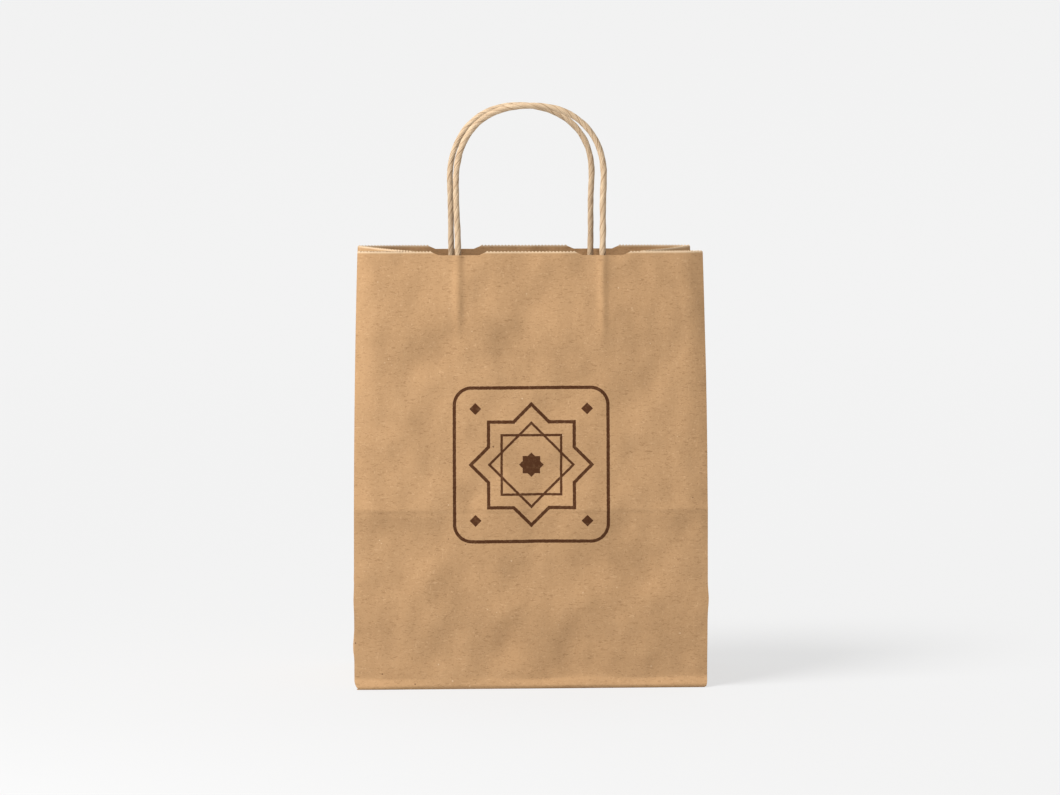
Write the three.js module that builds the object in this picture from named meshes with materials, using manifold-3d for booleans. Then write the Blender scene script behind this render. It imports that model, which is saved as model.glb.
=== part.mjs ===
// A paper gift bag with twisted paper handles, standing open. Millimetres, +Z up, front towards -Y.
// The origin is on the ground at the middle of the base.
import * as THREE from "three";
import Module from "manifold-3d";

// Size of the bag.
const WIDTH = 203;
const DEPTH = 102;
const HEIGHT = 251;
const PAPER = 0.5;
const GAP = 0.3;

// How far the open bag leans in: the front and back walls, and the side walls' middles.
const WALL_LEAN = THREE.MathUtils.degToRad(2.2);

// Cut top edge: saw teeth, and a low stretch in front of each handle leg.
const TOOTH_PITCH = 1.95;
const TOOTH_DEPTH = 0.7;
const NOTCH_WIDTH = 26;
const NOTCH_DEPTH = 2.4;

// Handles.
const CORD_RADIUS = 1.75;
const CORD_SIDES = 10;
const LEG_X = 41.4;
const BEND_ABOVE_NOTCH = 2.2;
const LOOP_HALF_WIDTH = 42.1;
const STRAIGHT_HEIGHT = 40;
const ARCH_HEIGHT = 43.5;
const ARCH_SQUARENESS = 2.3;
const LOOP_STEPS = 44;
const STRAIGHT_SHARE = 0.2;
const LEG_BOTTOM = 197;

// Reinforcing patches that hold the handle legs.
const PATCH_HALF_WIDTH = 52;
const PATCH_BOTTOM = 192;
const PATCH_TOP = 243;
const BUMP_STEPS = 8;

// Block bottom.
const BASE_MARGIN = 1.3;
const FRONT_FLAP_REACH = 65;
const REAR_FLAP_REACH = 62;
const TUCK_REACH = 62;
const TUCK_TIP = 14;

// Lap seam on the back wall.
const SEAM_INNER_X = 82;
const SEAM_OUTER_X = 94;
const SEAM_END_MARGIN = 5;

// Clearances along the side walls' creases.
const CREASE_MARGIN = 0.2;
const WEB_MARGIN = 1.1;
const CORNER_MARGIN = 5;

const HALF_WIDTH = WIDTH / 2;
const HALF_DEPTH = DEPTH / 2;

// The side wall's middle leans in so far that each half of its top edge stays half the depth long.
const SIDE_LEAN = Math.acos(
  (1 - (HALF_DEPTH / HEIGHT) * Math.sin(WALL_LEAN)) / Math.cos(WALL_LEAN),
);

// Depths of the layers on the inside of a wall, from its outer face.
const OUTER_PATCH_AT = PAPER + GAP;
const INNER_PATCH_AT = OUTER_PATCH_AT + PAPER + GAP;
const CORD_AT = INNER_PATCH_AT + CORD_RADIUS;
const BEND_HEIGHT = HEIGHT - NOTCH_DEPTH + BEND_ABOVE_NOTCH;

const KRAFT = 0xb98a5c;
const CORD_COLOUR = 0xa87848;

const manifoldModule = await Module();
manifoldModule.setup();
const { Manifold, Mesh } = manifoldModule;

const group = new THREE.Group();
group.name = "gift_bag";

function add(name, geometry, colour = KRAFT) {
  const material = new THREE.MeshStandardMaterial({ color: colour, roughness: 0.85 });
  const mesh = new THREE.Mesh(geometry, material);
  mesh.name = name;
  group.add(mesh);
}

function toManifold(geometry) {
  const position = geometry.getAttribute("position");
  const vertProperties = new Float32Array(position.array);
  const triVerts = new Uint32Array(position.count);
  for (let i = 0; i < position.count; i += 1) {
    triVerts[i] = geometry.index ? geometry.index.getX(i) : i;
  }
  const indices = geometry.index ? new Uint32Array(geometry.index.array) : triVerts;
  const mesh = new Mesh({ numProp: 3, vertProperties, triVerts: indices });
  mesh.merge();
  return new Manifold(mesh);
}

function fromManifold(solid) {
  const mesh = solid.getMesh();
  const geometry = new THREE.BufferGeometry();
  geometry.setAttribute("position", new THREE.BufferAttribute(mesh.vertProperties, 3));
  geometry.setIndex(new THREE.BufferAttribute(mesh.triVerts, 1));
  geometry.computeVertexNormals();
  return geometry;
}

function shapeOf(points) {
  return new THREE.Shape(points.map(([x, y]) => new THREE.Vector2(x, y)));
}

// A flat sheet lying on the ground plane, from a height upwards.
function groundSheet(points, bottom) {
  const geometry = new THREE.ExtrudeGeometry(shapeOf(points), { depth: PAPER, bevelEnabled: false });
  geometry.translate(0, 0, bottom);
  return geometry;
}

// Moves a geometry from a wall's own frame (x across, y inwards, z up) onto the leaning front wall.
function ontoFrontWall(geometry) {
  geometry.rotateX(-WALL_LEAN);
  geometry.translate(0, -HALF_DEPTH, 0);
  return geometry;
}

function frontToBack(geometry) {
  return geometry.rotateZ(Math.PI);
}

// A flat sheet in a wall's own frame. The points are (across, up), and depth is from the outer face.
function wallSheet(points, depth) {
  const geometry = new THREE.ExtrudeGeometry(shapeOf(points), { depth: PAPER, bevelEnabled: false });
  geometry.rotateX(Math.PI / 2);
  geometry.translate(0, depth + PAPER, 0);
  return geometry;
}

// The three corners of a triangle moved in from its sides. margins[i] is for the side from i to i + 1.
function insetTriangle(corners, margins) {
  const inside = corners.map((corner, i) => {
    const before = corners[(i + 2) % 3];
    const after = corners[(i + 1) % 3];
    const toBefore = before.clone().sub(corner).normalize();
    const toAfter = after.clone().sub(corner).normalize();
    const sine = toAfter.clone().cross(toBefore).length();
    const moved = corner.clone();
    moved.addScaledVector(toBefore, margins[i] / sine);
    moved.addScaledVector(toAfter, margins[(i + 2) % 3] / sine);
    return moved;
  });
  return inside;
}

// A flat triangular sheet whose outer face holds the corners, seen anticlockwise from outside.
function triangleSheet(corners, margins) {
  const inside = insetTriangle(corners, margins);
  const across = inside[1].clone().sub(inside[0]).normalize();
  const outwards = across.clone().cross(inside[2].clone().sub(inside[0])).normalize();
  const up = outwards.clone().cross(across);
  const flat = inside.map((corner) => {
    const offset = corner.clone().sub(inside[0]);
    return [offset.dot(across), offset.dot(up)];
  });
  const geometry = new THREE.ExtrudeGeometry(shapeOf(flat), { depth: PAPER, bevelEnabled: false });
  geometry.translate(0, 0, -PAPER);
  const place = new THREE.Matrix4().makeBasis(across, up, outwards);
  place.setPosition(inside[0]);
  geometry.applyMatrix4(place);
  return geometry;
}

// The front and back walls' outline, with the toothed and notched top edge.
function wallOutline() {
  const points = [
    [-HALF_WIDTH, GAP],
    [HALF_WIDTH, GAP],
    [HALF_WIDTH, HEIGHT - TOOTH_DEPTH],
  ];
  const lowEdge = HEIGHT - NOTCH_DEPTH;
  const toothed = (from, to) => {
    const count = Math.max(1, Math.round((from - to) / TOOTH_PITCH));
    const pitch = (from - to) / count;
    for (let i = 0; i < count; i += 1) {
      points.push([from - (i + 0.5) * pitch, HEIGHT]);
      points.push([from - (i + 1) * pitch, HEIGHT - TOOTH_DEPTH]);
    }
  };
  const notch = (centre) => {
    points.push([centre + NOTCH_WIDTH / 2 - NOTCH_DEPTH, lowEdge]);
    points.push([centre - NOTCH_WIDTH / 2 + NOTCH_DEPTH, lowEdge]);
    points.push([centre - NOTCH_WIDTH / 2, HEIGHT - TOOTH_DEPTH]);
  };
  toothed(HALF_WIDTH, LEG_X + NOTCH_WIDTH / 2);
  notch(LEG_X);
  toothed(LEG_X - NOTCH_WIDTH / 2, -LEG_X + NOTCH_WIDTH / 2);
  notch(-LEG_X);
  toothed(-LEG_X - NOTCH_WIDTH / 2, -HALF_WIDTH);
  points.pop();
  points.push([-HALF_WIDTH, HEIGHT - TOOTH_DEPTH]);
  return points;
}

// The inner patch in plan: flat on the outer patch, and raised over each leg.
function innerPatchPlan() {
  const side = (radius, depth, direction) => {
    const line = [[-PATCH_HALF_WIDTH * direction, depth]];
    for (const leg of [-LEG_X * direction, LEG_X * direction]) {
      line.push([leg - radius * direction, depth]);
      for (let i = 0; i <= BUMP_STEPS; i += 1) {
        const turn = Math.PI * (1 - i / BUMP_STEPS);
        line.push([leg + radius * Math.cos(turn) * direction, CORD_AT + radius * Math.sin(turn)]);
      }
      line.push([leg + radius * direction, depth]);
    }
    line.push([PATCH_HALF_WIDTH * direction, depth]);
    return line;
  };
  const near = side(CORD_RADIUS + GAP, INNER_PATCH_AT, 1);
  const far = side(CORD_RADIUS + GAP + PAPER, INNER_PATCH_AT + PAPER, -1);
  return [...near, ...far];
}

function innerPatch() {
  const depth = PATCH_TOP - PATCH_BOTTOM;
  const geometry = new THREE.ExtrudeGeometry(shapeOf(innerPatchPlan()), { depth, bevelEnabled: false });
  geometry.translate(0, 0, PATCH_BOTTOM);
  return geometry;
}

function rectangle(left, right, bottom, top) {
  return [
    [left, bottom],
    [right, bottom],
    [right, top],
    [left, top],
  ];
}

// A straight leg glued between the patches.
function leg(side) {
  const top = BEND_HEIGHT - CORD_RADIUS - GAP;
  const geometry = new THREE.CylinderGeometry(CORD_RADIUS, CORD_RADIUS, top - LEG_BOTTOM, CORD_SIDES);
  geometry.rotateX(Math.PI / 2);
  geometry.translate(side * LEG_X, CORD_AT, (top + LEG_BOTTOM) / 2);
  return geometry;
}

// Where the handle bends, on the front wall's cord line.
const BEND_Y = -HALF_DEPTH + CORD_AT * Math.cos(WALL_LEAN) + BEND_HEIGHT * Math.sin(WALL_LEAN);
const BEND_Z = BEND_HEIGHT * Math.cos(WALL_LEAN) - CORD_AT * Math.sin(WALL_LEAN);

// The loop's centre line: two straight legs under a squarish arch.
class LoopCurve extends THREE.Curve {
  getPoint(t) {
    const side = t < 0.5 ? -1 : 1;
    const fromEnd = t < 0.5 ? t : 1 - t;
    if (fromEnd < STRAIGHT_SHARE) {
      const share = fromEnd / STRAIGHT_SHARE;
      const x = LEG_X + (LOOP_HALF_WIDTH - LEG_X) * share;
      return new THREE.Vector3(side * x, BEND_Y, BEND_Z + STRAIGHT_HEIGHT * share);
    }
    const turn = ((fromEnd - STRAIGHT_SHARE) / (0.5 - STRAIGHT_SHARE)) * (Math.PI / 2);
    const across = Math.max(0, Math.cos(turn)) ** (2 / ARCH_SQUARENESS);
    const rise = Math.sin(turn) ** (2 / ARCH_SQUARENESS);
    const z = BEND_Z + STRAIGHT_HEIGHT + ARCH_HEIGHT * rise;
    return new THREE.Vector3(side * LOOP_HALF_WIDTH * across, BEND_Y, z);
  }
}

function circleShape(radius, sides) {
  const points = [];
  for (let i = 0; i < sides; i += 1) {
    const turn = (2 * Math.PI * i) / sides;
    points.push([radius * Math.cos(turn), radius * Math.sin(turn)]);
  }
  return shapeOf(points);
}

// The loop with rounded ends, which turn inside the top of the legs.
function loop() {
  const tube = new THREE.ExtrudeGeometry(circleShape(CORD_RADIUS, CORD_SIDES), {
    steps: LOOP_STEPS,
    extrudePath: new LoopCurve(),
    bevelEnabled: false,
  });
  let solid = toManifold(tube);
  for (const side of [-1, 1]) {
    const end = new THREE.SphereGeometry(CORD_RADIUS, CORD_SIDES, CORD_SIDES);
    end.translate(side * LEG_X, BEND_Y, BEND_Z);
    solid = solid.add(toManifold(end));
  }
  return fromManifold(solid);
}

// Base: two glued flaps over two side tucks, from the ground up.
function baseFlap(side, reach, bottom) {
  const edge = HALF_DEPTH - BASE_MARGIN;
  const wide = HALF_WIDTH - BASE_MARGIN;
  const points = [
    [-wide, -edge],
    [wide, -edge],
    [wide - reach, reach - edge],
    [reach - wide, reach - edge],
  ];
  const geometry = groundSheet(points, bottom);
  return side < 0 ? geometry : frontToBack(geometry);
}

function sideTuck(side, bottom) {
  const outer = HALF_WIDTH - BASE_MARGIN;
  const wide = HALF_DEPTH - BASE_MARGIN;
  const points = [
    [outer, -wide],
    [outer, wide],
    [outer - TUCK_REACH, TUCK_TIP],
    [outer - TUCK_REACH, -TUCK_TIP],
  ];
  const geometry = groundSheet(points, bottom);
  return side > 0 ? geometry : frontToBack(geometry);
}

const LAYER = PAPER + GAP;
add("bottom_front_flap", baseFlap(-1, FRONT_FLAP_REACH, 0));
add("bottom_rear_flap", baseFlap(1, REAR_FLAP_REACH, LAYER));
add("bottom_left_tuck", sideTuck(-1, 2 * LAYER));
add("bottom_right_tuck", sideTuck(1, 2 * LAYER));

// Front and back walls with what is glued to them.
function addWall(name, turn, left) {
  const place = (geometry) => turn(ontoFrontWall(geometry));
  const patch = rectangle(-PATCH_HALF_WIDTH, PATCH_HALF_WIDTH, PATCH_BOTTOM, PATCH_TOP);
  add(`${name}_panel`, place(wallSheet(wallOutline(), 0)));
  add(`${name}_outer_patch`, place(wallSheet(patch, OUTER_PATCH_AT)));
  add(`${name}_inner_patch`, place(innerPatch()));
  add(`${name}_left_leg`, place(leg(left)), CORD_COLOUR);
  add(`${name}_right_leg`, place(leg(-left)), CORD_COLOUR);
  add(`${name}_handle_loop`, turn(loop()), CORD_COLOUR);
}

addWall("front", (geometry) => geometry, -1);
addWall("back", frontToBack, 1);

const seam = rectangle(-SEAM_OUTER_X, -SEAM_INNER_X, SEAM_END_MARGIN, HEIGHT - SEAM_END_MARGIN);
add("side_seam_flap", frontToBack(ontoFrontWall(wallSheet(seam, OUTER_PATCH_AT))));

// Side walls: a leaning middle triangle, and a wing on each side of it that folds to a wall's edge.
const FRONT_FOOT = new THREE.Vector3(HALF_WIDTH, -HALF_DEPTH, 0);
const REAR_FOOT = new THREE.Vector3(HALF_WIDTH, HALF_DEPTH, 0);
const PINCH = new THREE.Vector3(
  HALF_WIDTH - HEIGHT * Math.sin(SIDE_LEAN),
  0,
  HEIGHT * Math.cos(SIDE_LEAN),
);
const FRONT_TOP = new THREE.Vector3(
  HALF_WIDTH,
  -HALF_DEPTH + HEIGHT * Math.sin(WALL_LEAN),
  HEIGHT * Math.cos(WALL_LEAN),
);
const REAR_TOP = new THREE.Vector3(HALF_WIDTH, -FRONT_TOP.y, FRONT_TOP.z);

function addSide(front, web, rear, turn) {
  const webMargins = [GAP, WEB_MARGIN, WEB_MARGIN];
  add(web, turn(triangleSheet([FRONT_FOOT, REAR_FOOT, PINCH], webMargins)));
  const frontMargins = [CREASE_MARGIN, GAP, CORNER_MARGIN];
  add(front, turn(triangleSheet([FRONT_FOOT, PINCH, FRONT_TOP], frontMargins)));
  const rearMargins = [CORNER_MARGIN, GAP, CREASE_MARGIN];
  add(rear, turn(triangleSheet([REAR_FOOT, REAR_TOP, PINCH], rearMargins)));
}

addSide("right_front_wing", "right_gusset_web", "right_rear_wing", (geometry) => geometry);
addSide("left_rear_wing", "left_gusset_web", "left_front_wing", frontToBack);

export default group;
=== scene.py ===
"""A kraft paper gift bag with twisted paper handles, standing open on a pale floor."""

import math

import bpy
import numpy as np
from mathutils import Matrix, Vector


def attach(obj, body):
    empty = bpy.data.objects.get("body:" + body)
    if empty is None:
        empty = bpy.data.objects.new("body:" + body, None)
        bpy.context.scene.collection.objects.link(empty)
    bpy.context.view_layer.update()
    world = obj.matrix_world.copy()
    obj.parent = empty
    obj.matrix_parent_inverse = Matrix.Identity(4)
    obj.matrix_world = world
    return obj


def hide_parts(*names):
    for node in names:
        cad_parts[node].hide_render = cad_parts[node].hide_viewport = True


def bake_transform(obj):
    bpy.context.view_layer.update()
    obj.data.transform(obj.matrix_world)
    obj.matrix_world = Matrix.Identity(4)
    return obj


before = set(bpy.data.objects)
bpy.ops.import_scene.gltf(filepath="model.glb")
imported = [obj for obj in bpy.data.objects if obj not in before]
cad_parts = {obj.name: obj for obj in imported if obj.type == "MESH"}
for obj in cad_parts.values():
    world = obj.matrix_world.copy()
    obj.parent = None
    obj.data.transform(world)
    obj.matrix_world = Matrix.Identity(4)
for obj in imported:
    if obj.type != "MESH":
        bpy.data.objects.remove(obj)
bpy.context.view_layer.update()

# Every size is in millimetres unless a name or a comment says otherwise.
MM = 0.001

# The bag's sheet. v runs up a wall along the paper.
HALF_WIDTH = 101.5
HALF_DEPTH = 51.0
HEIGHT = 251.0
LEAN = math.radians(2.2)
PAPER = 0.32
GLUED_PAPER = 0.25
FOOT_GAP = 0.5
TOP_INSET = HEIGHT * math.sin(LEAN)
# How far the side walls' edges stay behind the walls' outer faces.
GUSSET_GAP = 1.2
# By what share the side walls' pinch at the mouth is deeper than the walls' lean asks for.
EXTRA_PINCH = 0.14

# Top edge. The rows of a sheet bend down to its teeth from TEETH_FROM upwards.
TOOTH_STEP = 1.95
TOOTH_DEPTH = 0.75
TEETH_FROM = 225
NOTCH_HALF = 15.6
NOTCH_RAMP = 4.0
NOTCH_DEPTH = 2.5
LEG_X = 41.4

# The walls' side edges turn back by lips that reach this far round the corners.
LIP_REACHES = (0.5, 1.3, 2.1)
LIP_BEND = 1.3

# Horizontal crease across the walls, and the height where the gusset's slanting creases cross.
CREASE_V = 103.0
CROSS_V = 51.0

# Handles.
CORD_RADIUS = 1.75
CORD_AT = 3.35
BEND_HEIGHT = HEIGHT - 0.2
LOOP_HALF_WIDTH = 42.1
STRAIGHT_HEIGHT = 40.0
ARCH_HEIGHT = 43.5
ARCH_SQUARENESS = 2.3
LEG_BOTTOM = 197.0
REAR_HANDLE_SHIFT = -2.0
CORD_SIDES = 40
LAY_PITCH = 21.0
# Grooves of the lay: angle round the cord (radians), depth, and width (radians).
LAY_GROOVES = ((0.0, 0.16, 0.2), (2.0, 0.1, 0.17), (4.3, 0.12, 0.19))

# Patches under and over the cords' legs, and how far behind the wall's outer face they lie.
PATCH_HALF_WIDTH = 52.0
PATCH_BOTTOM = 192
PATCH_TOP = 243
PATCH_DEPTH = 0.42
COVER_DEPTH = 0.85
COVER_RIDGE = 5.1

# The lap seam's flap on the back wall, before it is turned round.
SEAM_ACROSS = (-94, -82)
SEAM_UP = (5, 246)
SEAM_DEPTH = 0.45

# Turns a front piece into a back piece.
TURN_ROUND = np.array([-1, -1, 1])

# Where each piece's paper starts on the pattern, so that no two pieces look the same.
BACK_PAPER = (400, 0)
GUSSET_PAPER = 600
PATCH_PAPER = 900
TURNED_PATCH_PAPER = (300, 0)
SEAM_PAPER = -300

# Seeds of the wrinkles and of the cords' lay. Each piece takes its own from these.
FRONT_SEED = 11
BACK_SEED = 37
GUSSET_SEED = 60
CORD_SEED = 40
PATCH_SEED = 20

# Linear colours of the paper, the ink and the cord.
KRAFT = (0.462, 0.275, 0.136)
KRAFT_LIGHT = (0.60, 0.38, 0.208)
KRAFT_DARK = (0.29, 0.16, 0.072)
# Colour of the painted highlight along the paper's top edge.
PAINTED_RIM_HIGHLIGHT = (0.80, 0.62, 0.42)
SPECK_DARK = (0.10, 0.045, 0.02)
SPECK_LIGHT = (0.68, 0.48, 0.3)
INK = (0.068, 0.022, 0.006)
CORD = (0.62, 0.45, 0.285)
CORD_LIGHT = (0.88, 0.71, 0.50)
CORD_DARK = (0.27, 0.145, 0.065)

# The floor's colour and glow, and the world's strength as light and as a background.
FLOOR_GREY = 0.165
FLOOR_GLOW = 0.66
ROOM_LIGHT = 0.36
SURROUND = 0.87

# Fibres in the kraft: turn, stretch of the noise, threshold, tint and amount.
FIBRES = (
    (0.5, (30, 105, 1), 0.62, KRAFT_LIGHT, 0.55),
    (-0.7, (100, 32, 1), 0.63, KRAFT_LIGHT, 0.45),
    (1.4, (32, 110, 1), 0.6, KRAFT_DARK, 0.55),
    (-1.2, (34, 100, 1), 0.6, KRAFT_DARK, 0.5),
)
# Specks in the kraft: cells per unit, largest radius, tint and amount.
SPECKS = (
    (9, 0.058, SPECK_DARK, 0.75),
    (24, 0.09, KRAFT_DARK, 0.75),
    (17, 0.1, SPECK_LIGHT, 0.65),
)
# Painted shade along the cord's grooves: place round the cord (0 to 1), width and amount.
PAINTED_GROOVE_SHADE = (
    (0.0, 0.035, 0.75),
    (1.0, 0.035, 0.75),
    (2.0 / 6.2832, 0.028, 0.5),
    (4.3 / 6.2832, 0.03, 0.6),
)

# The printed ornament, on the sheet's own scale.
MOTIF_HEIGHT = 129.0
FRAME_HALF = 44.0
FRAME_CORNER = 10.0
STAR_HALF = 24.5
INNER_HALF = 17.0
BUD_HALF = 5.0
DIAMOND_AT = 32.0
DIAMOND_HALF = 3.4
THICK_LINE = 1.9
THIN_LINE = 1.4
LINE_EDGE = 0.12

# The camera, in metres and degrees. Its focal length is in pixels of a picture PHOTO_WIDTH wide.
CAMERA_PLACE = (-0.0935, -1.98, 0.337)
CAMERA_FOCAL = 3400.0
CAMERA_TURN = 2.75
CAMERA_TILT = 5.0
PHOTO_WIDTH = 1060.0
SENSOR_WIDTH = 36.0


# ---------------------------------------------------------------- smooth fields


def waves(a, b, seed, wavelength, count=14, spread=0.35):
    """A smooth random field over (a, b), about -1 to 1, with bumps of about that wavelength."""
    rng = np.random.default_rng(seed)
    total = np.zeros(np.broadcast(a, b).shape)
    for _ in range(count):
        turn = rng.uniform(0, 2 * math.pi)
        length = wavelength * (1 + spread * rng.uniform(-1, 1))
        k = 2 * math.pi / length
        phase = rng.uniform(0, 2 * math.pi)
        total = total + np.cos(k * (a * math.cos(turn) + b * math.sin(turn)) + phase)
    return total / math.sqrt(count)


def smooth(t):
    """0 below t = 0, 1 above t = 1, and an even ease between them."""
    t = np.clip(t, 0, 1)
    return t * t * (3 - 2 * t)


def bell(t):
    """A bell curve, 1 at t = 0."""
    return np.exp(-t * t)


def toothed(v, drops):
    """Heights up a sheet, drawn down to its toothed top edge near the top only."""
    return v - drops * smooth((v - TEETH_FROM) / (HEIGHT - TEETH_FROM))


def half_depth(v):
    """How far the walls stand from the middle plane at paper height v."""
    s = np.clip(v / HEIGHT, 0, 1.02)
    return HALF_DEPTH - TOP_INSET * s**2.1


def corner_inset(v, side):
    """How far the corner creases stand in from the bag's full width. side is -1 left, 1 right."""
    straight_to, top_inset, foot_height = 60, 2.7, 5.0
    s = np.clip((v - straight_to) / (HEIGHT - straight_to), 0, 1.02)
    inset = top_inset * s**2.2
    # A small knuckle where the gusset's slanting creases meet the corner, and a rounded foot.
    inset = inset - (0.45 + 0.1 * side) * bell((v - CROSS_V) / 6)
    round_foot = np.clip(1 - v / foot_height, 0, 1)
    foot_inset = np.where(np.asarray(side) < 0, 2.3, 0.7)
    return inset + foot_inset * round_foot**2


def wall_relief(x, v, seed):
    """How far a wall's paper stands out from its smooth shape."""
    zero = 0 * x
    bulge = 1.5
    out = bulge * np.cos(0.5 * math.pi * np.clip(x / HALF_WIDTH, -1, 1)) * smooth((v - 8) / 90)
    # Wrinkles of three sizes. The corner creases hold the sides straighter than the middle.
    calm = 1 - 0.6 * smooth((np.abs(x) - 60) / 40)
    large = 0.85 * waves(x, v, seed, 78)
    middle = 0.55 * waves(x, v * 0.8, seed + 1, 34)
    out += calm * (large + middle)
    out += 0.15 * waves(x, v * 0.7, seed + 2, 15, 20)
    # The crease: paper slopes out slowly down to it and turns back in sharply below.
    above = np.exp(-np.abs((v - CREASE_V) / 8.5) ** 1.2)
    below = np.exp(-np.abs((CREASE_V - v) / 10.0) ** 1.3)
    ridge = np.where(v > CREASE_V, above, below)
    out += 1.15 * ridge * (1 + 0.45 * waves(x, zero, seed + 3, 75))
    groove, groove_width = CREASE_V - 1.8, 1.1
    out -= 0.16 * bell((groove - v) / groove_width)
    # Ridges over the handle's glued legs, strongest at the top edge.
    fade = smooth((v - (LEG_BOTTOM - 4)) / 26)
    for leg in (-LEG_X, LEG_X):
        drift = leg + 0.8 * waves(v, 0 * v, seed + 4, 60)
        out += fade * (1.0 * bell((x - drift) / 2.4) + 0.55 * bell((x - drift) / 8))
    # The patch's lower edge shows through faintly.
    out += 0.2 * smooth((60 - np.abs(x)) / 12) * smooth((v - 190) / 6)
    # The sides turn back towards the gussets, most of all near the top.
    strip = 13
    edge = np.clip((np.abs(x) - (HALF_WIDTH - strip)) / strip, 0, 1)
    out -= (0.5 + 2.0 * smooth((v - 70) / 150)) * edge**2 * (1.15 - 0.15 * np.sign(x))
    # Below a sharp line near the ground the paper slopes out to the base crease, most at the ends.
    ends = 0.35 + 0.65 * np.clip(np.abs(x + 8) / 80, 0, 1) ** 1.5
    ends = ends + 0.25 * waves(x, zero, seed + 5, 80)
    line = 5.6 + 0.5 * waves(x, zero, seed + 6, 60)
    slope = 2.9 * np.clip((line - v) / line, 0, 1)
    hollow = 2.2 * (1 - smooth((v - line) / 50))
    return out * smooth((v + 4) / 24) + ends * (slope - hollow)


# ---------------------------------------------------------------- meshes


def grid_piece(name, points, uv, material, inward, thickness=PAPER):
    """A thin closed sheet from a grid of points on its outer face.

    inward points roughly the way that its thickness goes.
    """
    points = np.asarray(points, float)
    rows, columns = points.shape[:2]
    du = np.gradient(points, axis=1)
    dv = np.gradient(points, axis=0)
    normal = np.cross(du, dv)
    normal /= np.maximum(np.linalg.norm(normal, axis=2, keepdims=True), 1e-9)
    if (normal * np.asarray(inward, float)).sum() < 0:
        normal = -normal
    inner = points + normal * thickness
    count = rows * columns
    verts = np.concatenate([points.reshape(-1, 3), inner.reshape(-1, 3)]) * MM
    index = np.arange(count).reshape(rows, columns)
    a, b = index[:-1, :-1].ravel(), index[:-1, 1:].ravel()
    c, d = index[1:, 1:].ravel(), index[1:, :-1].ravel()
    outer_faces = np.stack([a, d, c, b], 1)
    inner_faces = np.stack([a, b, c, d], 1) + count
    ring = np.concatenate([index[0, :-1], index[:-1, -1], index[-1, :0:-1], index[:0:-1, 0]])
    following = np.roll(ring, -1)
    rim = np.stack([ring, following, following + count, ring + count], 1)
    faces = np.concatenate([outer_faces, inner_faces, rim])
    # Faces point out of the paper, so the closed sheet's volume is positive.
    corners = verts[faces]
    halves = np.cross(corners[:, 1], corners[:, 2]) + np.cross(corners[:, 2], corners[:, 3])
    if (corners[:, 0] * halves).sum() < 0:
        faces = faces[:, ::-1]
    mesh = bpy.data.meshes.new(name)
    mesh.from_pydata(verts.tolist(), [], faces.tolist())
    layer = mesh.uv_layers.new(name="Sheet")
    # One unit of the sheet's map is 100 mm of paper.
    flat = np.concatenate([np.asarray(uv, float).reshape(-1, 2)] * 2) * MM * 10
    loops = np.zeros(len(mesh.loops), np.int32)
    mesh.loops.foreach_get("vertex_index", loops)
    layer.data.foreach_set("uv", flat[loops].astype(np.float32).ravel())
    mesh.polygons.foreach_set("use_smooth", [True] * len(mesh.polygons))
    mesh.set_sharp_from_angle(angle=math.radians(48))
    mesh.materials.append(material)
    mesh.validate()
    obj = bpy.data.objects.new(name, mesh)
    bpy.context.scene.collection.objects.link(obj)
    return obj


def wall_columns():
    """Places across a wall, and how far the top edge lies under the full height at each."""
    xs, drops = [], []

    def teeth(start, end):
        count = round((end - start) / TOOTH_STEP)
        step = (end - start) / count
        for i in range(count):
            xs.append(start + i * step)
            drops.append(TOOTH_DEPTH)
            xs.append(start + (i + 0.5) * step)
            drops.append(0.0)

    def notch(centre):
        left, right = centre - NOTCH_HALF, centre + NOTCH_HALF
        flat_left, flat_right = left + NOTCH_RAMP, right - NOTCH_RAMP
        half_way = (TOOTH_DEPTH + NOTCH_DEPTH) / 2
        xs.extend([left, (left + flat_left) / 2])
        drops.extend([TOOTH_DEPTH, half_way])
        for x in np.linspace(flat_left, flat_right, 22):
            xs.append(float(x))
            drops.append(NOTCH_DEPTH)
        xs.append((flat_right + right) / 2)
        drops.append(half_way)

    teeth(-HALF_WIDTH, -LEG_X - NOTCH_HALF)
    notch(-LEG_X)
    teeth(-LEG_X + NOTCH_HALF, LEG_X - NOTCH_HALF)
    notch(LEG_X)
    teeth(LEG_X + NOTCH_HALF, HALF_WIDTH)
    xs.append(HALF_WIDTH)
    drops.append(TOOTH_DEPTH)
    return np.array(xs), np.array(drops)


def wall_point(x, v, seed, turned=False):
    """A point of the front wall's outer face, x across the paper and v up it.

    turned is true for the back wall, which is made as a front wall and turned round afterwards.
    """
    inset = corner_inset(v, np.sign(x) * (-1 if turned else 1))
    squeeze = 1 - inset / HALF_WIDTH * smooth((np.abs(x) - 30) / 70)
    rolled_foot = 1.1 * smooth(1 - v / 1.6) ** 2
    y = -half_depth(v) - wall_relief(x, v, seed) + rolled_foot
    uneven_foot = 0.2 * waves(x, 0 * x, seed + 9, 85) * smooth(1 - v / 14)
    z = v * math.cos(LEAN) + FOOT_GAP + uneven_foot
    return np.stack([x * squeeze, y, z], -1)


def inside_wall(x, v, seed, depth, turned=False):
    """The point that lies depth inwards from the wall's outer face."""
    inwards = np.array([0, math.cos(LEAN), -math.sin(LEAN)])
    return wall_point(x, v, seed, turned) + depth[..., None] * inwards


def wall_lip(edge, rows, sign):
    """The columns of a wall that go round its left (sign -1) or right (sign 1) corner."""
    swing = np.radians(88 - 34 * np.clip(rows / HEIGHT, 0, 1) ** 1.2)
    columns = []
    for reach in LIP_REACHES:
        part = np.minimum(1, reach / LIP_BEND)
        across = -sign * np.cos(swing) * reach * part + sign * 0.12 * (1 - part)
        columns.append(edge + np.stack([across, np.sin(swing) * reach, 0 * swing], -1))
    return columns


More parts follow.
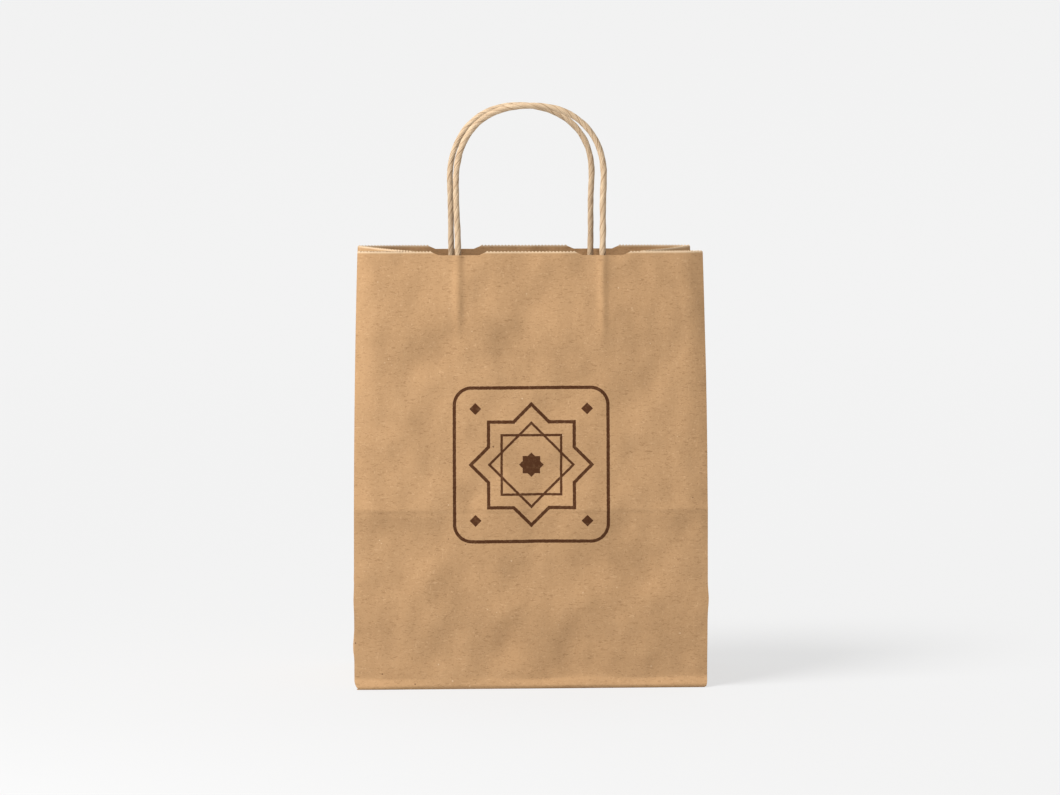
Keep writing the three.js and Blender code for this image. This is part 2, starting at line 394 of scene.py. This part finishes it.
def wall_sheet(name, seed, turned):
    """A wall's sheet with its toothed and notched top edge. turned is true for the back wall."""
    xs, drops = wall_columns()
    # Rows are closest at the foot and across the crease.
    bands = ((0, 6, 9), (6, 90, 42), (90, 114, 25))
    rows = np.concatenate(
        [np.linspace(*band)[:-1] for band in bands] + [np.linspace(114, HEIGHT, 82)]
    )
    x, v = np.meshgrid(xs, rows)
    v = toothed(v, drops[None, :])
    points = wall_point(x, v, seed, turned)
    left = np.stack(wall_lip(points[:, 0], rows, -1)[::-1], 1)
    right = np.stack(wall_lip(points[:, -1], rows, 1), 1)
    points = np.concatenate([left, points, right], 1)
    reach = np.array(LIP_REACHES)
    u = np.concatenate([xs[0] - reach[::-1], xs, xs[-1] + reach])
    lip_count = len(LIP_REACHES)
    v_left, v_right = np.repeat(v[:, :1], lip_count, 1), np.repeat(v[:, -1:], lip_count, 1)
    v_all = np.concatenate([v_left, v, v_right], 1)
    uv = np.stack([np.broadcast_to(u, v_all.shape), v_all], -1)
    if turned:
        points = points * TURN_ROUND
        uv = uv + BACK_PAPER
    inward = (0, -1 if turned else 1, 0)
    return grid_piece(name, points, uv, kraft_material(name, not turned), inward)


def gusset_half(name, side, end, seed):
    """Half of a side wall, from its middle crease to a front or rear corner.

    side is -1 for the left and 1 for the right, end is -1 for the front and 1 for the rear.
    """
    across = np.linspace(0, 1, 47)
    rows = np.concatenate([np.linspace(0, 8, 9)[:-1], np.linspace(8, HEIGHT, 120)])
    t, v = np.meshgrid(across, rows)
    top_drop = TOOTH_DEPTH * (np.arange(len(across)) % 2)
    v = toothed(v, top_drop[None, :])
    # The front and rear edges stay just inside the walls' own edges.
    wall_seed, wall_side = (FRONT_SEED, side) if end < 0 else (BACK_SEED, -side)
    edge_x = wall_side * HALF_WIDTH + 0 * v
    depth = half_depth(v) + wall_relief(edge_x, v, wall_seed) - GUSSET_GAP
    # Where the walls lean in, the side wall's paper has to go inwards.
    # t is 0 at the corner and 1 at the middle crease.
    upper = smooth((v - 120) / 120)
    pinch = np.sqrt(np.maximum(HALF_DEPTH**2 - half_depth(v) ** 2, 0)) * (1 + EXTRA_PINCH * upper)
    inset = corner_inset(v, side)
    pinch = pinch * smooth((v - 6) / 90) ** 0.6 - inset
    crease_radius = 0.012
    rounded = 1 - np.sqrt((1 - t) ** 2 + crease_radius**2) + crease_radius
    arch = np.sin(math.pi * t)
    along = HALF_DEPTH * (1 - t)
    bow = arch * (1.6 * smooth(v / 60) + 1.2 * upper)
    bow += 0.5 * waves(along * end, v, seed, 48) * arch**0.5
    fine = 0.12 * waves(along * end, v * 0.8, seed + 1, 17)
    bow += fine * smooth(t * 8) * smooth((1 - t) * 8)
    # Slanting creases from the foot's corners to the crossing, and from there up to the corners.
    crease_width = 1.3
    slant_low = np.abs(v - CROSS_V * t) / 1.414
    slant_high = np.abs(v - (2 * CROSS_V - CROSS_V * t)) / 1.414
    crossing = bell((v - CROSS_V) / 12) * bell(along / 14)
    relief = 0.35 * bell(slant_low / crease_width) * smooth(t * 6)
    relief += 0.28 * bell(slant_high / crease_width) * smooth(t * 6)
    relief += 0.9 * crossing + 0.35 * bell((v - CROSS_V) / 10)
    inwards = pinch * rounded + 0.42 - (bow + relief) * 0.9
    x = side * (HALF_WIDTH - inset - np.maximum(inwards, -0.9))
    y = end * depth * (1 - t)
    z = v * (1 - 0.0066 * t) * math.cos(LEAN) + FOOT_GAP
    points = np.stack([x, y, z], -1)
    u = side * (GUSSET_PAPER + end * along)
    uv = np.stack([u, v], -1)
    return grid_piece(name, points, uv, kraft_material(name, False), (-side, 0, 0))


def cord_bend():
    """Where the front cord's legs bend into its loop at the top edge, as y and z."""
    y = -HALF_DEPTH + CORD_AT * math.cos(LEAN) + BEND_HEIGHT * math.sin(LEAN)
    z = BEND_HEIGHT * math.cos(LEAN) - CORD_AT * math.sin(LEAN)
    return y, z


def lengths_along(line):
    """The distance of each point of a line from its start."""
    return np.concatenate([[0], np.cumsum(np.linalg.norm(np.diff(line, axis=0), axis=1))])


def cord_path(step=0.6):
    """The front cord's centre line, up one glued leg, round the loop and down the other leg."""
    legs = []
    for v in np.arange(LEG_BOTTOM, BEND_HEIGHT, 1.0):
        depth = CORD_AT - 0.5 * smooth((BEND_HEIGHT - v) / 25)
        y = -HALF_DEPTH + depth * math.cos(LEAN) + v * math.sin(LEAN)
        legs.append([LEG_X, y, v * math.cos(LEAN) - depth * math.sin(LEAN)])
    legs = np.array(legs)
    y_bend, z_bend = cord_bend()
    rise = np.linspace(0, STRAIGHT_HEIGHT, 30)[:-1]
    side = LEG_X + (LOOP_HALF_WIDTH - LEG_X) * rise / STRAIGHT_HEIGHT
    straight = np.stack([side, np.full_like(rise, y_bend), z_bend + rise], 1)
    turn = np.linspace(0, math.pi, 200)
    power = 2 / ARCH_SQUARENESS
    across = LOOP_HALF_WIDTH * np.sign(np.cos(turn)) * np.abs(np.cos(turn)) ** power
    up = z_bend + STRAIGHT_HEIGHT + ARCH_HEIGHT * np.sin(turn) ** power
    arch = np.stack([across, np.full_like(turn, y_bend), up], 1)
    other = np.array([-1, 1, 1])
    line = np.concatenate([legs, straight, arch, (straight * other)[::-1], (legs * other)[::-1]])
    along = lengths_along(line)
    even = np.linspace(0, along[-1], int(along[-1] / step))
    line = np.stack([np.interp(even, along, line[:, k]) for k in range(3)], 1)
    smoothings = 12
    for _ in range(smoothings):
        line[1:-1] = 0.25 * line[:-2] + 0.5 * line[1:-1] + 0.25 * line[2:]
    return line


def twisted_cord(name, seed, turned):
    """A cord of twisted paper along the handle's line: one closed tube with shallow grooves."""
    line = cord_path()
    rng = np.random.default_rng(seed)
    length = lengths_along(line)
    zero = 0 * length
    # Slight unevenness of a hand-bent cord, none of it near the bend or below it.
    free = smooth((line[:, 2] - BEND_HEIGHT - 4) / 30)
    drifts = ((0.7, 90), (0.6, 110), (0.5, 80))
    drift = [size * waves(length, zero, seed + k, wave) for k, (size, wave) in enumerate(drifts)]
    line = line + free[:, None] * np.stack(drift, 1)
    if turned:
        line = line * TURN_ROUND + np.array([REAR_HANDLE_SHIFT, 0, 0])
    tangent = np.gradient(line, axis=0)
    tangent /= np.linalg.norm(tangent, axis=1, keepdims=True)
    across = np.cross(tangent, np.array([0.0, 1.0, 0.0]))
    across /= np.linalg.norm(across, axis=1, keepdims=True)
    over = np.cross(tangent, across)
    pitch = LAY_PITCH * (1 + 0.12 * waves(length, zero, seed + 3, 60))
    turns = np.concatenate([[0], np.cumsum(2 * math.pi / pitch[1:] * np.diff(length))])
    twist = rng.uniform(0, 6) + turns
    angle = 2 * math.pi * np.arange(CORD_SIDES) / CORD_SIDES
    # Grooves of the lay: a deep edge of the wound strip and two shallower folds of it.
    lay = np.zeros((len(line), CORD_SIDES))
    for place, depth, width in LAY_GROOVES:
        wander = 0.3 * waves(length, zero + place, seed + 8, 30)[:, None]
        off = (angle[None, :] - place - wander + math.pi) % (2 * math.pi) - math.pi
        lay -= depth * np.exp(-((off / width) ** 2))
    oval, margin = 0.05, 0.02
    lay += oval * np.cos(2 * angle)[None, :]
    swell = 0.06 * waves(length, zero, seed + 5, 13) + 0.05 * waves(length, zero, seed + 6, 40)
    radius = (CORD_RADIUS + margin + lay + swell[:, None])[:, :, None]
    turn = angle[None, :] + twist[:, None]
    ring = np.cos(turn)[:, :, None] * across[:, None, :]
    ring = ring + np.sin(turn)[:, :, None] * over[:, None, :]
    points = line[:, None, :] + radius * ring
    u = np.broadcast_to(angle / (2 * math.pi), turn.shape)
    along = np.broadcast_to(length[:, None] * 0.01, turn.shape)
    index = np.arange(len(line) * CORD_SIDES).reshape(len(line), CORD_SIDES)
    after = np.roll(index, -1, 1)
    quads = np.stack([index[:-1], after[:-1], after[1:], index[1:]], -1).reshape(-1, 4)
    mesh = bpy.data.meshes.new(name)
    caps = [tuple(index[0][::-1].tolist()), tuple(index[-1].tolist())]
    mesh.from_pydata((points.reshape(-1, 3) * MM).tolist(), [], quads.tolist() + caps)
    layer = mesh.uv_layers.new(name="Sheet")
    # The faces close round the cord, and the last strip gets a u of 1 at its far side.
    side_u = 1 / CORD_SIDES
    u_quads = np.stack([u[:-1], u[:-1] + side_u, u[1:] + side_u, u[1:]], -1).reshape(-1)
    v_quads = np.stack([along[:-1], along[:-1], along[1:], along[1:]], -1).reshape(-1)
    cap_uv = np.zeros(2 * CORD_SIDES)
    flat = np.stack([np.concatenate([u_quads, cap_uv]), np.concatenate([v_quads, cap_uv])], 1)
    layer.data.foreach_set("uv", flat.astype(np.float32).ravel())
    mesh.polygons.foreach_set("use_smooth", [True] * len(mesh.polygons))
    mesh.set_sharp_from_angle(angle=math.radians(60))
    mesh.materials.append(cord_material(name))
    obj = bpy.data.objects.new(name, mesh)
    bpy.context.scene.collection.objects.link(obj)
    return obj


def patch_sheet(name, seed, turned, covers):
    """A reinforcing patch inside a wall. covers is true for the one over the cord's legs."""
    xs = np.linspace(-PATCH_HALF_WIDTH, PATCH_HALF_WIDTH, 150)
    rows = np.linspace(PATCH_BOTTOM, PATCH_TOP, 52)
    x, v = np.meshgrid(xs, rows)
    slip = 0.6 if covers else 0.0
    v = v + slip + 0.2 * waves(x, 0 * x, seed + PATCH_SEED, 60)
    depth = PATCH_DEPTH + 0 * x
    if covers:
        depth = COVER_DEPTH + 0 * x
        for leg in (-LEG_X, LEG_X):
            depth += COVER_RIDGE * np.exp(-np.abs((x - leg) / 3.5) ** 2.6)
        depth += 0.12 * waves(x, v, seed + PATCH_SEED + 1, 14) + 0.15
    points = inside_wall(x, v, seed, depth, turned)
    uv = np.stack([x + PATCH_PAPER, v + (80 if covers else 160)], -1)
    if turned:
        points = points * TURN_ROUND
        uv = uv + TURNED_PATCH_PAPER
    inward = (0, -1 if turned else 1, 0)
    return grid_piece(name, points, uv, kraft_material(name, False), inward, GLUED_PAPER)


def seam_sheet(name, seed):
    """The lap seam's flap, glued inside the back wall."""
    xs = np.linspace(*SEAM_ACROSS, 13)
    rows = np.linspace(*SEAM_UP, 150)
    x, v = np.meshgrid(xs, rows)
    points = inside_wall(x, v, seed, SEAM_DEPTH + 0 * x, True) * TURN_ROUND
    uv = np.stack([x + SEAM_PAPER, v], -1)
    return grid_piece(name, points, uv, kraft_material(name, False), (0, -1, 0), GLUED_PAPER)


# ---------------------------------------------------------------- materials


class Nodes:
    """Builds a material's node tree."""

    def __init__(self, name):
        self.material = bpy.data.materials.new(name)
        self.material.use_nodes = True
        self.tree = self.material.node_tree
        self.shader = self.tree.nodes["Principled BSDF"]

    def node(self, kind, **settings):
        node = self.tree.nodes.new(kind)
        for key, value in settings.items():
            setattr(node, key, value)
        return node

    def link(self, source, target):
        self.tree.links.new(source, target)

    def feed(self, socket, value):
        if isinstance(value, (int, float)):
            socket.default_value = value
        else:
            self.link(value, socket)

    def math(self, operation, a, b=0.0, clamp=False):
        node = self.node("ShaderNodeMath", operation=operation, use_clamp=clamp)
        self.feed(node.inputs[0], a)
        self.feed(node.inputs[1], b)
        return node.outputs[0]

    def spread(self, value, low, high, to_low=0.0, to_high=1.0, kind="SMOOTHSTEP"):
        node = self.node("ShaderNodeMapRange", interpolation_type=kind)
        self.link(value, node.inputs["Value"])
        node.inputs["From Min"].default_value = low
        node.inputs["From Max"].default_value = high
        node.inputs["To Min"].default_value = to_low
        node.inputs["To Max"].default_value = to_high
        return node.outputs[0]

    def noise(self, place, scale, detail=3.0, rough=0.5, stretch=(1, 1, 1), turn=0.0, warp=0.0):
        mapping = self.node("ShaderNodeMapping")
        mapping.inputs["Scale"].default_value = stretch
        mapping.inputs["Rotation"].default_value = (0, 0, turn)
        self.link(place, mapping.inputs["Vector"])
        node = self.node("ShaderNodeTexNoise")
        node.inputs["Scale"].default_value = scale
        node.inputs["Detail"].default_value = detail
        node.inputs["Roughness"].default_value = rough
        node.inputs["Distortion"].default_value = warp
        self.link(mapping.outputs[0], node.inputs["Vector"])
        return node.outputs["Fac"]

    def mix(self, factor, a, b):
        node = self.node("ShaderNodeMix", data_type="RGBA")
        self.feed(node.inputs["Factor"], factor)
        for socket, value in ((node.inputs[6], a), (node.inputs[7], b)):
            if isinstance(value, tuple):
                socket.default_value = (*value, 1)
            else:
                self.link(value, socket)
        return node.outputs[2]

    def blend_of(self, *parts):
        """Adds up noises round their middle, each with its own share."""
        total = None
        for noise, share in parts:
            part = self.math("MULTIPLY", self.math("SUBTRACT", noise, 0.5), share)
            total = part if total is None else self.math("ADD", total, part)
        return total

    def toned(self, tone, middle, light, dark):
        """A middle colour, lighter where tone is over 0 and darker where it is under 0."""
        colour = self.mix(self.math("ADD", tone, 0.0, clamp=True), middle, light)
        return self.mix(self.math("MULTIPLY", tone, -1.0, clamp=True), colour, dark)

    def bump(self, height, strength, distance, normal=None):
        node = self.node("ShaderNodeBump")
        node.inputs["Strength"].default_value = strength
        node.inputs["Distance"].default_value = distance
        self.link(height, node.inputs["Height"])
        if normal is not None:
            self.link(normal, node.inputs["Normal"])
        return node.outputs[0]


def kraft_colour(n, place):
    """Mottled kraft: clouds, flocks, fibres and specks. Also returns its grain and flocks."""
    clouds = n.noise(place, 2.2, 3, 0.55)
    flocks = n.noise(place, 16, 4, 0.6)
    grain = n.noise(place, 70, 3, 0.6)
    streak = n.noise(place, 9, 3, 0.6, stretch=(3.2, 0.5, 1))
    tone = n.blend_of((clouds, 0.42), (flocks, 0.42), (grain, 0.5), (streak, 0.28))
    colour = n.toned(tone, KRAFT, KRAFT_LIGHT, KRAFT_DARK)
    for turn, stretch, low, tint, amount in FIBRES:
        line = n.noise(place, 1.0, 2, 0.55, stretch=stretch, turn=turn, warp=1.2)
        colour = n.mix(n.spread(line, low, low + 0.08, 0, amount), colour, tint)
    for scale, radius, tint, amount in SPECKS:
        cells = n.node("ShaderNodeTexVoronoi", feature="F1")
        cells.inputs["Scale"].default_value = scale
        n.link(place, cells.inputs["Vector"])
        size = n.spread(n.noise(place, scale * 0.8, 1, 0.5), 0.42, 0.72, 0.0, radius, "LINEAR")
        speck = n.math("LESS_THAN", cells.outputs["Distance"], size)
        colour = n.mix(n.math("MULTIPLY", speck, amount), colour, tint)
    return colour, grain, flocks


def motif(n, place):
    """Ink coverage of the printed ornament: a star of two squares in a rounded square."""
    split = n.node("ShaderNodeSeparateXYZ")
    n.link(place, split.inputs[0])
    wobble = n.math("MULTIPLY", n.math("SUBTRACT", n.noise(place, 60, 2, 0.6), 0.5), 0.5)
    across = n.math("ABSOLUTE", n.math("MULTIPLY", split.outputs[0], 100.0))
    height = n.math("MULTIPLY", split.outputs[1], 100.0)
    up = n.math("ABSOLUTE", n.math("SUBTRACT", height, MOTIF_HEIGHT))

    def stroke(distance, width):
        level = n.math("ADD", n.math("ABSOLUTE", distance), wobble)
        return n.spread(level, width / 2 - LINE_EDGE, width / 2 + LINE_EDGE, 1.0, 0.0)

    def filled(distance):
        return n.spread(n.math("ADD", distance, wobble), -LINE_EDGE, LINE_EDGE, 1.0, 0.0)

    def rounded_square(half, corner):
        qx = n.math("SUBTRACT", across, half - corner)
        qy = n.math("SUBTRACT", up, half - corner)
        ox = n.math("MAXIMUM", qx, 0.0)
        oy = n.math("MAXIMUM", qy, 0.0)
        squares = n.math("ADD", n.math("MULTIPLY", ox, ox), n.math("MULTIPLY", oy, oy))
        round_part = n.math("SQRT", squares)
        flat_part = n.math("MINIMUM", n.math("MAXIMUM", qx, qy), 0.0)
        return n.math("SUBTRACT", n.math("ADD", round_part, flat_part), corner)

    square = n.math("MAXIMUM", across, up)
    tilted = n.math("MULTIPLY", n.math("ADD", across, up), 0.70711)
    star = n.math("MINIMUM", square, tilted)
    marks = [
        stroke(rounded_square(FRAME_HALF, FRAME_CORNER), THICK_LINE),
        stroke(n.math("SUBTRACT", star, STAR_HALF), THICK_LINE),
        stroke(n.math("SUBTRACT", square, INNER_HALF), THIN_LINE),
        stroke(n.math("SUBTRACT", tilted, INNER_HALF), THIN_LINE),
        filled(n.math("SUBTRACT", star, BUD_HALF)),
    ]
    # A small diamond in each corner of the frame.
    off_across = n.math("ABSOLUTE", n.math("SUBTRACT", across, DIAMOND_AT))
    off_up = n.math("ABSOLUTE", n.math("SUBTRACT", up, DIAMOND_AT))
    diamond = n.math("ADD", off_across, off_up)
    marks.append(filled(n.math("SUBTRACT", diamond, DIAMOND_HALF)))
    total = marks[0]
    for mark in marks[1:]:
        total = n.math("MAXIMUM", total, mark)
    return total


def kraft_material(name, printed, mapped=True):
    """The paper of one piece. mapped is false for a piece with no map of the sheet."""
    n = Nodes(f"kraft_{name}")
    if mapped:
        place = n.node("ShaderNodeUVMap", uv_map="Sheet").outputs[0]
    else:
        scaled = n.node("ShaderNodeMapping")
        scaled.inputs["Scale"].default_value = (10, 10, 10)
        n.link(n.node("ShaderNodeTexCoord").outputs["Object"], scaled.inputs["Vector"])
        place = scaled.outputs[0]
    colour, grain, flocks = kraft_colour(n, place)
    # A painted highlight lies as a pale line along the paper's top edge.
    split = n.node("ShaderNodeSeparateXYZ")
    n.link(place, split.inputs[0])
    rim = n.spread(split.outputs[1], 2.492, 2.504, 0.0, 0.7)
    rim = n.math("MULTIPLY", rim, n.math("LESS_THAN", split.outputs[1], 2.53))
    colour = n.mix(rim, colour, PAINTED_RIM_HIGHLIGHT)
    if printed:
        ink = motif(n, place)
        worn = n.spread(n.noise(place, 45, 3, 0.65), 0.3, 0.5, 0.88, 0.99, "LINEAR")
        colour = n.mix(n.math("MULTIPLY", ink, worn), colour, INK)
    n.link(colour, n.shader.inputs["Base Color"])
    n.link(n.spread(flocks, 0.3, 0.7, 0.72, 0.86, "LINEAR"), n.shader.inputs["Roughness"])
    n.shader.inputs["Specular IOR Level"].default_value = 0.15
    wrinkle = n.noise(place, 5.5, 5, 0.5, stretch=(1, 0.75, 1))
    first = n.bump(wrinkle, 0.35, 0.0018)
    fine = n.math("ADD", n.math("MULTIPLY", grain, 0.6), n.math("MULTIPLY", flocks, 0.4))
    n.link(n.bump(fine, 0.35, 0.0005, first), n.shader.inputs["Normal"])
    return n.material


def cord_material(name):
    """The twisted paper of one cord."""
    n = Nodes(f"twisted_{name}")
    place = n.node("ShaderNodeUVMap", uv_map="Sheet").outputs[0]
    # u runs round the cord with its twist and v along it, so streaks follow the lay.
    streak = n.noise(place, 1.0, 4, 0.6, stretch=(16, 3, 1))
    thread = n.noise(place, 1.0, 3, 0.6, stretch=(60, 9, 1))
    cloud = n.noise(place, 1.0, 3, 0.55, stretch=(2, 14, 1))
    tone = n.blend_of((streak, 1.7), (thread, 1.3), (cloud, 0.9))
    colour = n.toned(tone, CORD, CORD_LIGHT, CORD_DARK)
    split = n.node("ShaderNodeSeparateXYZ")
    n.link(place, split.inputs[0])
    # Painted shade darkens the cord along its grooves.
    for groove, width, amount in PAINTED_GROOVE_SHADE:
        gap = n.math("ABSOLUTE", n.math("SUBTRACT", split.outputs[0], groove))
        colour = n.mix(n.spread(gap, width * 0.3, width, amount, 0.0), colour, CORD_DARK)
    n.link(colour, n.shader.inputs["Base Color"])
    n.shader.inputs["Roughness"].default_value = 0.62
    n.shader.inputs["Specular IOR Level"].default_value = 0.3
    fine = n.math("ADD", n.math("MULTIPLY", streak, 0.6), n.math("MULTIPLY", thread, 0.4))
    n.link(n.bump(fine, 0.7, 0.0007), n.shader.inputs["Normal"])
    return n.material


# ---------------------------------------------------------------- camera, lights, floor


def look_at(obj, target):
    """Turns a light to face a point."""
    direction = Vector(target) - obj.location
    obj.rotation_euler = direction.to_track_quat("-Z", "Y").to_euler()


def make_camera():
    """The photo's camera, in front of the bag and a little above it."""
    data = bpy.data.cameras.new("camera")
    data.sensor_width = SENSOR_WIDTH
    data.lens = SENSOR_WIDTH * CAMERA_FOCAL / PHOTO_WIDTH
    data.clip_start = 0.05
    data.clip_end = 50.0
    camera = bpy.data.objects.new("camera", data)
    camera.location = CAMERA_PLACE
    camera.rotation_euler = (math.radians(90 - CAMERA_TILT), 0, math.radians(-CAMERA_TURN))
    bpy.context.scene.collection.objects.link(camera)
    bpy.context.scene.camera = camera


def make_light(name, place, target, size, power):
    """A soft rectangular light, in metres and watts."""
    data = bpy.data.lights.new(name, "AREA")
    data.shape = "RECTANGLE"
    data.size, data.size_y = size
    data.energy = power
    light = bpy.data.objects.new(name, data)
    light.location = place
    light.visible_camera = False
    bpy.context.scene.collection.objects.link(light)
    look_at(light, target)


def make_sun(name, place, strength, softness):
    """A sun that shines from the side where place is. softness is its angle in degrees."""
    data = bpy.data.lights.new(name, "SUN")
    data.energy = strength
    data.angle = math.radians(softness)
    light = bpy.data.objects.new(name, data)
    light.location = place
    bpy.context.scene.collection.objects.link(light)
    look_at(light, (0, 0, 0))


def make_floor():
    """A pale sweep that goes up behind the bag, in metres.

    It also gives off light, so that it stays even and its shadows stay light.
    """
    n = Nodes("studio_floor")
    n.shader.inputs["Base Color"].default_value = (FLOOR_GREY, FLOOR_GREY, FLOOR_GREY, 1)
    n.shader.inputs["Emission Color"].default_value = (1, 1, 1, 1)
    n.shader.inputs["Emission Strength"].default_value = FLOOR_GLOW
    n.shader.inputs["Roughness"].default_value = 0.95
    n.shader.inputs["Specular IOR Level"].default_value = 0.0
    mesh = bpy.data.meshes.new("studio_floor")
    side, behind, bend = 14.0, 2.2, 2.5
    outline = [(-side, 0.0), (behind, 0.0)]
    for angle in np.linspace(0.06, math.pi / 2, 24):
        outline.append((behind + bend * math.sin(angle), bend * (1 - math.cos(angle))))
    outline.append((behind + bend, side))
    verts = [(x, y, z) for y, z in outline for x in (-side, side)]
    faces = [(2 * i, 2 * i + 1, 2 * i + 3, 2 * i + 2) for i in range(len(outline) - 1)]
    mesh.from_pydata(verts, [], faces)
    mesh.polygons.foreach_set("use_smooth", [True] * len(mesh.polygons))
    mesh.materials.append(n.material)
    floor = bpy.data.objects.new("studio_floor", mesh)
    bpy.context.scene.collection.objects.link(floor)


def make_world():
    """An even white room. It is dimmer than the pale surround that shows past the floor's end."""
    world = bpy.data.worlds.new("studio")
    world.use_nodes = True
    tree = world.node_tree
    background = tree.nodes["Background"]
    background.inputs["Color"].default_value = (1, 1, 1, 1)
    seen = tree.nodes.new("ShaderNodeLightPath").outputs["Is Camera Ray"]
    strength = tree.nodes.new("ShaderNodeMapRange")
    strength.inputs["To Min"].default_value = ROOM_LIGHT
    strength.inputs["To Max"].default_value = SURROUND
    tree.links.new(seen, strength.inputs["Value"])
    tree.links.new(strength.outputs[0], background.inputs["Strength"])
    bpy.context.scene.world = world


make_camera()
make_floor()
make_world()
bpy.context.scene.view_settings.view_transform = "Standard"
bpy.context.scene.view_settings.look = "None"

make_sun("key", (-0.66, -0.36, 1.0), 3.4, 26)
make_light("side", (-0.46, -0.55, 0.38), (-0.03, 0, 0.14), (0.2, 0.3), 1.75)

# ---------------------------------------------------------------- the bag

front = wall_sheet("front_sheet", FRONT_SEED, False)
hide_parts("front_panel")
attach(front, "front_wall")

back = wall_sheet("back_sheet", BACK_SEED, True)
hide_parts("back_panel")
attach(back, "back_wall")

for side, side_name in ((-1, "left"), (1, "right")):
    for end, end_name in ((-1, "front"), (1, "rear")):
        seed = GUSSET_SEED + 7 * side + 3 * end
        half = gusset_half(f"{side_name}_{end_name}_gusset", side, end, seed)
        nodes = [f"{side_name}_{end_name}_wing"]
        if end < 0:
            nodes.append(f"{side_name}_gusset_web")
        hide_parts(*nodes)
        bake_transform(half)

for wall, seed, turned in (("front", FRONT_SEED, False), ("back", BACK_SEED, True)):
    cord = twisted_cord(f"{wall}_cord", seed + CORD_SEED, turned)
    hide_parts(f"{wall}_handle_loop", f"{wall}_left_leg", f"{wall}_right_leg")
    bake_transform(cord)
    for layer, covers in (("outer", False), ("inner", True)):
        patch = patch_sheet(f"{wall}_{layer}_patch_sheet", seed, turned, covers)
        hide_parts(f"{wall}_{layer}_patch")
        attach(patch, f"{wall}_wall")

seam = seam_sheet("seam_sheet", BACK_SEED)
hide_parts("side_seam_flap")
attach(seam, "back_wall")

# The base flaps lie flat under the bag, so they keep their CAD shape and take the paper's look.
base_paper = kraft_material("base", False, mapped=False)
for node in ("bottom_front_flap", "bottom_rear_flap", "bottom_left_tuck", "bottom_right_tuck"):
    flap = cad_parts[node]
    for slot in flap.material_slots:
        slot.material = base_paper

bpy.context.view_layer.update()
